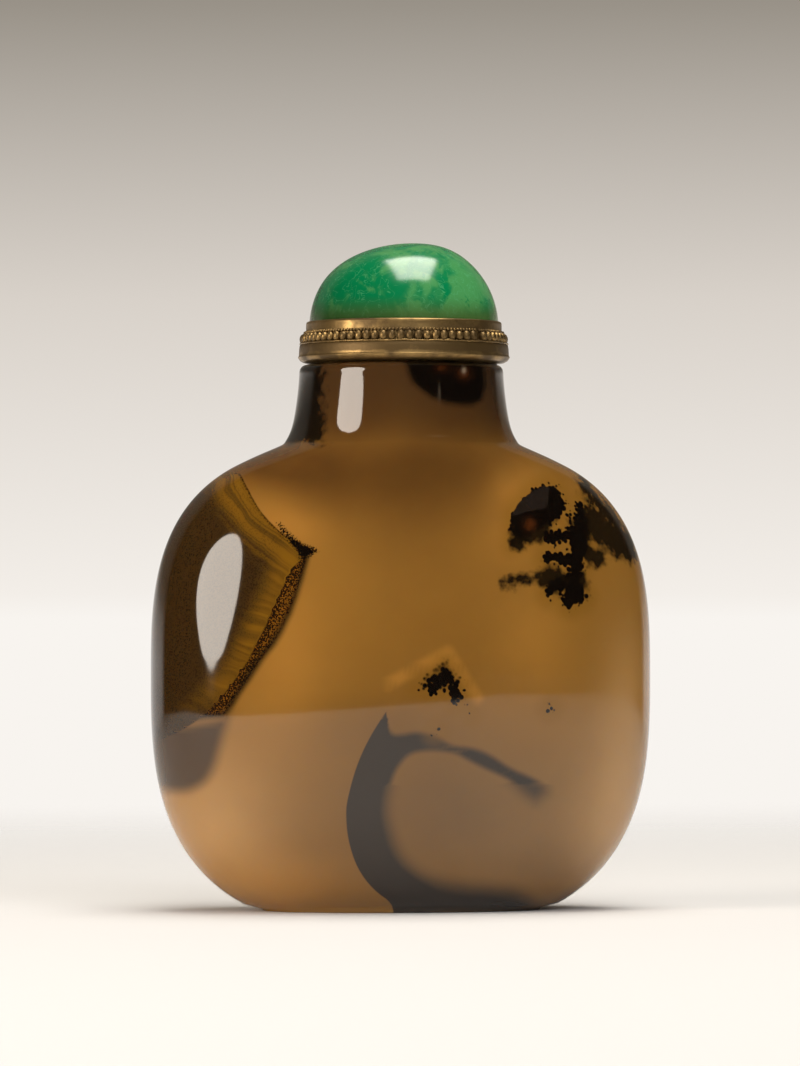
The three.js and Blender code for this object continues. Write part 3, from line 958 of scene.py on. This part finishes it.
def solder_mesh(s):
    """A thin uneven bead of solder along the flange's top edge."""
    columns, sides = 420, 7
    # In millimetres, with the noise read round a ring of 9 mm
    inset, mean_girth, unevenness, noise_ring = 0.22, 0.085, 0.05, 9.0
    girth_pace, lift_pace, lift_start = 2.3, 1.3, Vector((4, 0, 0))
    radius = (collar_high.x - collar_low.x) / 2 - inset * MM
    top = collar_low.z + s.flange_thickness
    points = []
    for i in range(columns):
        angle = 2 * math.pi * i / columns
        place = Vector((math.sin(angle), -math.cos(angle), 0)) * noise_ring
        girth = (mean_girth + unevenness * noise.noise(place * girth_pace)) * MM
        lift = unevenness * noise.noise(place * lift_pace + lift_start) * MM
        for j in range(sides):
            turn = 2 * math.pi * j / sides
            r = radius + girth * math.cos(turn)
            z = top + lift + girth * math.sin(turn)
            points.append((stopper_axis + r * math.sin(angle), -r * math.cos(angle), z))
    faces = []
    for i in range(columns):
        for j in range(sides):
            a, b = i * sides, (i + 1) % columns * sides
            k = (j + 1) % sides
            faces.append((a + j, b + j, b + k, a + k))
    return smooth_mesh("solder_line", points, faces)


def gilt_silver(s, name, tarnish_start):
    """Gilded silver, rubbed by handling: soft gold gloss, dull brown tarnish in patches, and a darker, duller
    band on the flange.
    """
    material, tree, place = new_material(name)
    # Tarnish in patches of 2 mm, and a hammered grain of 0.25 mm
    patches = add_node(tree, "ShaderNodeTexNoise", {"Vector": place, "Scale": 520, "Detail": 4})
    grain = add_node(tree, "ShaderNodeTexNoise", {"Vector": place, "Scale": 4000, "Detail": 2})
    # The flange's flat band, about 1.6 mm above its foot, is made darker and duller
    height = add_node(tree, "ShaderNodeSeparateXYZ", {0: place}, output="Z")
    middle = collar_low.z + 1.6 * MM
    off_middle = add_node(tree, "ShaderNodeMath", {0: height, 1: middle}, operation="SUBTRACT")
    off_band = add_node(tree, "ShaderNodeMath", {0: off_middle}, operation="ABSOLUTE")
    flange_band = add_node(
        tree, "ShaderNodeMapRange",
        {"Value": off_band, "From Min": 0.65 * MM, "From Max": 0.4 * MM, "To Max": 0.2}, **SMOOTH,
    )
    low = add_node(tree, "ShaderNodeMath", {0: patches, 1: flange_band}, operation="ADD")
    worn = add_node(
        tree, "ShaderNodeMapRange",
        {"Value": low, "From Min": tarnish_start, "From Max": tarnish_start + 0.25},
    )
    base = laid_over(tree, s.gilding, [(worn, s.tarnish)])
    dulled = add_node(tree, "ShaderNodeMath", {0: worn, 1: 0.6, 2: grain}, operation="MULTIPLY_ADD")
    gloss = add_node(
        tree, "ShaderNodeMapRange", {"Value": dulled, "From Max": 1.2, "To Min": 0.24, "To Max": 0.5}
    )
    metallic = add_node(tree, "ShaderNodeMapRange", {"Value": worn, "To Min": 0.95, "To Max": 0.7})
    dents = add_node(tree, "ShaderNodeBump", {"Strength": 0.35, "Distance": 0.03 * MM, "Height": grain})
    shader = add_node(
        tree, "ShaderNodeBsdfPrincipled",
        {"Base Color": base, "Roughness": gloss, "Metallic": metallic, "Normal": dents},
    )
    add_node(tree, "ShaderNodeOutputMaterial", {"Surface": shader})
    return material


def green_jadeite(s):
    """Jadeite, polished: mottled green grains under a glassy skin with fine pits."""
    material, tree, place = new_material("green_jadeite")
    axes = add_node(tree, "ShaderNodeSeparateXYZ", {0: place}).node.outputs
    # Clouds of 2.5 mm, thicker on the left, with pale threads of 0.2 mm through them
    clouds = add_node(
        tree, "ShaderNodeTexNoise", {"Vector": place, "Scale": 330, "Detail": 3, "Distortion": 0.6}
    )
    flecks = add_node(
        tree, "ShaderNodeTexNoise", {"Vector": place, "Scale": 900, "Detail": 2, "Distortion": 1.0}
    )
    leftward = add_node(
        tree, "ShaderNodeMapRange",
        {"Value": axes["X"], "From Min": -7 * MM, "From Max": 6 * MM, "To Min": 0.19, "To Max": -0.05},
    )
    thick = add_node(tree, "ShaderNodeMath", {0: clouds, 1: leftward}, operation="ADD")
    deep = add_node(
        tree, "ShaderNodeMapRange", {"Value": thick, "From Min": 0.46, "From Max": 0.64}, **SMOOTH
    )
    fleck = add_node(
        tree, "ShaderNodeMapRange", {"Value": flecks, "From Min": 0.6, "From Max": 0.68, "To Max": 0.8},
        **SMOOTH,
    )
    from_vein = add_node(tree, "ShaderNodeMath", {0: flecks, 1: 0.48}, operation="SUBTRACT")
    off_vein = add_node(tree, "ShaderNodeMath", {0: from_vein}, operation="ABSOLUTE")
    vein = add_node(
        tree, "ShaderNodeMapRange", {"Value": off_vein, "From Min": 0.02, "From Max": 0.0, "To Max": 0.35},
        **SMOOTH,
    )
    # The stone darkens to olive in the last 2 mm above the bezel, a painted reflection of the gilt bezel
    low = add_node(
        tree, "ShaderNodeMapRange",
        {"Value": axes["Z"], "From Min": collar_high.z + 2.4 * MM, "From Max": collar_high.z, "To Max": 0.75},
        **SMOOTH,
    )
    # The olive is the painted reflection of the gilt bezel
    olive, thread = linear_colour("#46531f"), linear_colour("#5fb07c")
    base = laid_over(tree, s.jade, [(deep, s.emerald), (fleck, s.emerald), (vein, thread), (low, olive)])
    pits = add_node(tree, "ShaderNodeTexNoise", {"Vector": place, "Scale": 6000, "Detail": 1})
    skin = add_node(tree, "ShaderNodeBump", {"Strength": 0.12, "Distance": 0.02 * MM, "Height": pits})
    shader = add_node(
        tree, "ShaderNodeBsdfPrincipled",
        {
            "Base Color": base, "Roughness": 0.17, "IOR": 1.66, "Normal": skin,
            "Subsurface Weight": 0.3, "Subsurface Radius": (0.3, 1.0, 0.5), "Subsurface Scale": 1.5 * MM,
        },
        subsurface_method="RANDOM_WALK",
    )
    add_node(tree, "ShaderNodeOutputMaterial", {"Surface": shader})
    return material


def natural_cork(s):
    """Cork, cut and sanded: dry and matt, with dark pores of about half a millimetre."""
    material, tree, place = new_material("natural_cork")
    cells = add_node(tree, "ShaderNodeTexVoronoi", {"Vector": place, "Scale": 1600})
    pores = add_node(tree, "ShaderNodeTexNoise", {"Vector": place, "Scale": 900, "Detail": 3})
    pore = add_node(tree, "ShaderNodeMapRange", {"Value": pores, "From Min": 0.6, "From Max": 0.68})
    base = laid_over(tree, s.cork, [(pore, linear_colour("#4e3018"))])
    rough = add_node(tree, "ShaderNodeBump", {"Strength": 0.5, "Distance": 0.1 * MM, "Height": cells})
    shader = add_node(
        tree, "ShaderNodeBsdfPrincipled",
        {"Base Color": base, "Roughness": 0.9, "IOR": 1.45, "Normal": rough},
    )
    add_node(tree, "ShaderNodeOutputMaterial", {"Surface": shader})
    return material


class SNUFF_OT_collar(bpy.types.Operator):
    """Makes the stopper's metal collar, with its beaded wires and its line of solder"""

    bl_idname = "snuff.collar"
    bl_label = "Stopper Collar"

    def execute(self, context):
        s = context.scene.snuff_stopper
        columns, bead_sink, wire_reach, wire_lift = 288, 0.07 * MM, 0.1 * MM, 0.02 * MM
        metal = gilt_silver(s, "gilt_silver", tarnish_start=0.36)
        rubbed = gilt_silver(s, "rubbed_gilt_silver", tarnish_start=0.62)
        radius = (collar_high.x - collar_low.x) / 2
        flange_top = collar_low.z + s.flange_thickness
        cup = add_object("collar_cup", turned_mesh("collar_cup", collar_outline(s), columns, stopper_axis))
        cup.data.materials.append(metal)
        solder = add_object("collar_solder", solder_mesh(s))
        solder.data.materials.append(rubbed)
        tree = bead_tree()
        large = {
            "Count": s.bead_count,
            "Ring Radius": radius - s.bead_inset,
            "Height": flange_top + s.bead_height - bead_sink,
            "Axis": stopper_axis,
            "Bead Radius": s.bead_radius,
            "Bead Height": s.bead_height,
            "Join": s.bead_join,
            "Join Angle": math.radians(39),
            "Wobble": 0.1,
            "Segments": 14,
            "Seed": 3,
            "Material": metal,
        }
        fine = {
            **large,
            "Count": s.wire_count,
            "Ring Radius": radius - s.bezel_inset + wire_reach,
            "Height": flange_top + 2 * s.bead_height + wire_lift,
            "Bead Radius": s.wire_radius,
            "Bead Height": s.wire_radius,
            "Wobble": 0.16,
            "Segments": 8,
            "Seed": 8,
        }
        pieces = [cup, solder, grow("collar_beads", tree, large), grow("collar_fine_wire", tree, fine)]
        for piece in pieces:
            finish_piece(piece, "gilt_metal", "stopper_collar")
        return {"FINISHED"}


class SNUFF_OT_stone(bpy.types.Operator):
    """Cuts the stopper's cabochon"""

    bl_idname = "snuff.stone"
    bl_label = "Stopper Stone"

    def execute(self, context):
        s = context.scene.snuff_stopper
        waist = collar_high.z - s.stone_waist
        values = {
            "Radius": (stone_high.x - stone_low.x) / 2,
            "Dome": stone_high.z - waist,
            "Base": waist - stone_low.z,
            "Waist Height": waist,
            "Axis": stopper_axis,
            "Lean": s.apex_shift,
            "Squareness": s.dome_squareness,
            "Material": green_jadeite(s),
        }
        finish_piece(grow("cabochon_stone", dome_tree(), values), "green_stone", "stopper_cabochon")
        return {"FINISHED"}


class SNUFF_OT_cork(bpy.types.Operator):
    """Cuts the stopper's cork"""

    bl_idname = "snuff.cork"
    bl_label = "Stopper Cork"

    def execute(self, context):
        s = context.scene.snuff_stopper
        columns, radius = 96, (cork_high.x - cork_low.x) / 2
        tip = radius - s.cork_taper
        outline = [
            (0, cork_low.z),
            (tip - s.cork_chamfer, cork_low.z),
            (tip, cork_low.z + s.cork_chamfer),
            (radius, cork_high.z),
            (0, cork_high.z),
        ]
        piece = add_object("cork_plug", turned_mesh("cork_plug", outline, columns, stopper_axis))
        piece.data.materials.append(natural_cork(s))
        finish_piece(piece, "cork", "stopper_cork")
        return {"FINISHED"}


# Studio


def place_camera(s):
    """A long lens near table height, a little to the left of the bottle's front."""
    turn = math.radians(8)
    sensor, picture_height = 36, 1066
    # The photograph shows 10.41 pixels for each millimetre at the bottle. The bottle's axis lies 1.3
    # pixels to the right of the picture's middle, and eye level 85 pixels below it.
    focal = 10.41 / MM * s.camera_distance
    to_axis, to_level = 1.3, 85
    camera = bpy.data.cameras.new("camera")
    camera.sensor_width = sensor
    camera.lens = sensor * focal / picture_height
    camera.clip_start, camera.clip_end = 0.05, 20
    eye = add_object("camera", camera)
    eye.location = (-s.camera_distance * math.sin(turn), -s.camera_distance * math.cos(turn), s.camera_height)
    eye.rotation_euler = (math.pi / 2 + math.atan(to_level / focal), 0, math.atan(to_axis / focal) - turn)
    bpy.context.scene.camera = eye


def aimed(azimuth, elevation):
    """A direction from the bottle: degrees to the right of its front, and above level."""
    turn, lift = math.radians(azimuth), math.radians(elevation)
    return (math.sin(turn) * math.cos(lift), -math.cos(turn) * math.cos(lift), math.sin(lift))


def flag_lamp(lamp, state, *names):
    """The lamp lights all but the named pieces, or them alone, as if small flags stood beside it."""
    flagged = bpy.data.collections.new(lamp.name + "_flags")
    for name in names:
        flagged.objects.link(bpy.data.objects[name])
    lamp.light_linking.receiver_collection = flagged
    for entry in flagged.collection_objects:
        entry.light_linking.link_state = state


def add_softbox(name, aim, direction, distance, size, power, shape="RECTANGLE"):
    light = bpy.data.lights.new(name, "AREA")
    light.shape = shape
    light.size, light.size_y = size
    light.energy = power
    lamp = add_object(name, light)
    lamp.location = Vector(aim) + Vector(direction).normalized() * distance
    lamp.rotation_euler = (-Vector(direction)).to_track_quat("-Z", "Y").to_euler()
    lamp.visible_camera = False
    return lamp


def add_sheet(name, corners, material):
    """A sheet on the table's level, with its corners given from above."""
    mesh = bpy.data.meshes.new(name)
    mesh.from_pydata([(x, y, 0.0) for x, y in corners], [], [tuple(range(len(corners)))])
    mesh.materials.append(material)
    sheet = add_object(name, mesh)
    return sheet


def pale_card():
    """A matt pale card, which fades into the wall from 40 to 350 mm behind the bottle."""
    material, tree, place = new_material("pale_card")
    axes = add_node(tree, "ShaderNodeSeparateXYZ", {0: place}).node.outputs
    fade = add_node(
        tree, "ShaderNodeMapRange", {"Value": axes["Y"], "From Min": 0.04, "From Max": 0.35}, **SMOOTH
    )
    card = add_node(
        tree, "ShaderNodeBsdfPrincipled",
        {"Base Color": linear_colour("#dad8d7"), "Roughness": 0.8, "IOR": 1.45},
    )
    clear = add_node(tree, "ShaderNodeBsdfTransparent")
    blend = add_node(tree, "ShaderNodeMixShader", {0: fade, 1: card, 2: clear})
    add_node(tree, "ShaderNodeOutputMaterial", {"Surface": blend})
    return material


def light_room():
    """A pale wall behind the table, lit from below, and a dark room in front of it."""
    world = bpy.data.worlds.new("room")
    bpy.context.scene.world = world
    world.use_nodes = True
    tree = world.node_tree
    tree.nodes.clear()
    direction = add_node(tree, "ShaderNodeTexCoord", output="Generated")
    axes = add_node(tree, "ShaderNodeSeparateXYZ", {"Vector": direction}).node.outputs
    wall = add_node(tree, "ShaderNodeValToRGB", {"Fac": axes["Z"]})
    # The wall darkens with the sine of the angle above eye level
    stops = [(0.0, "#f8f4ef"), (0.004, "#f3eee8"), (0.0509, "#d8d1c9"), (0.0989, "#979086")]
    stops.append((0.16, "#6f6a62"))
    ramp_stops = wall.node.color_ramp.elements
    for stop, (position, code) in zip(ramp_stops, (stops[0], stops[-1])):
        stop.position, stop.color = position, linear_colour(code)
    for position, code in stops[1:-1]:
        ramp_stops.new(position).color = linear_colour(code)
    behind = add_node(
        tree, "ShaderNodeMapRange", {"Value": axes["Y"], "From Min": 0.5, "From Max": 0.66}, **SMOOTH
    )
    seen = add_node(tree, "ShaderNodeLightPath", output="Is Camera Ray")
    shown = add_node(tree, "ShaderNodeMath", {0: behind, 1: seen}, operation="MAXIMUM")
    dark = linear_colour("#1c1b1a")
    paint = add_node(tree, "ShaderNodeMix", {"Factor": shown, 6: dark, 7: wall}, output=2, data_type="RGBA")
    glow = add_node(tree, "ShaderNodeBackground", {"Color": paint, "Strength": 1.0})
    add_node(tree, "ShaderNodeOutputWorld", {"Surface": glow})


def set_table():
    """The card that the bottle stands on and mirrors, and the card round it, which it doesn't mirror."""
    card = pale_card()
    # The first card's left and front edges show in the stone, where its mirror image ends
    back, left, corner, right = (-0.37, 1.6), (-0.37, -0.02), (0.3, -0.565), (1.5, -0.018)
    add_sheet("table", [back, left, corner, right, (1.5, 1.6)], card)
    around = [back, (-1.5, 1.6), (-1.5, -1.2), (1.5, -1.2), right, corner, left]
    add_sheet("table_front", around, card).visible_glossy = False


def set_lights(distance):
    """A softbox at the left, one above, a fill in front, and a weak one for the collar alone."""
    middle = (0, 0, 30 * MM)
    side = add_softbox(
        "side_softbox", middle, aimed(-65, 15), distance, size=(0.31, 0.35), power=2.75, shape="ELLIPSE"
    )
    side.data.color = (1, 0.91, 0.8)
    flag_lamp(side, "EXCLUDE", "cabochon_stone")
    above = (0.07, -0.045, 30 * MM)
    top = add_softbox("top_softbox", above, (0, 0.05, 1), distance, size=(0.345, 0.5), power=4.3)
    top.data.color = (1, 0.96, 0.88)
    fill = add_softbox("front_fill", middle, aimed(12, 32), 2 * distance, size=(1, 1), power=9)
    fill.visible_glossy = False
    collar = add_softbox("collar_fill", middle, aimed(0, 35), 2 * distance, size=(1, 0.8), power=4)
    flag_lamp(collar, "INCLUDE", "collar_cup", "collar_solder", "collar_beads", "collar_fine_wire")


class SNUFF_OT_stage(bpy.types.Operator):
    """Sets the table, the lights, the room and the camera"""

    bl_idname = "snuff.stage"
    bl_label = "Table and Lights"

    def execute(self, context):
        s = context.scene.snuff_studio
        context.scene.view_settings.view_transform = "Standard"
        set_table()
        set_lights(s.softbox_distance)
        light_room()
        place_camera(s)
        return {"FINISHED"}


class SNUFF_PT_panel(bpy.types.Panel):
    bl_label = "Snuff Bottle"
    bl_idname = "SNUFF_PT_panel"
    bl_space_type = "VIEW_3D"
    bl_region_type = "UI"
    bl_category = "Snuff Bottle"

    def draw(self, context):
        for operator in OPERATORS:
            self.layout.operator(operator.bl_idname)


OPERATORS = (SNUFF_OT_bottle, SNUFF_OT_collar, SNUFF_OT_stone, SNUFF_OT_cork, SNUFF_OT_stage)
CLASSES = (BottleSettings, StopperSettings, StudioSettings, *OPERATORS, SNUFF_PT_panel)


def register():
    for cls in CLASSES:
        bpy.utils.register_class(cls)
    bpy.types.Scene.snuff_bottle = PointerProperty(type=BottleSettings)
    bpy.types.Scene.snuff_stopper = PointerProperty(type=StopperSettings)
    bpy.types.Scene.snuff_studio = PointerProperty(type=StudioSettings)


def unregister():
    del bpy.types.Scene.snuff_studio
    del bpy.types.Scene.snuff_stopper
    del bpy.types.Scene.snuff_bottle
    for cls in reversed(CLASSES):
        bpy.utils.unregister_class(cls)


def main():
    register()
    bpy.ops.snuff.bottle()
    bpy.ops.snuff.collar()
    bpy.ops.snuff.stone()
    bpy.ops.snuff.cork()
    bpy.ops.snuff.stage()


if __name__ == "__main__":
    main()
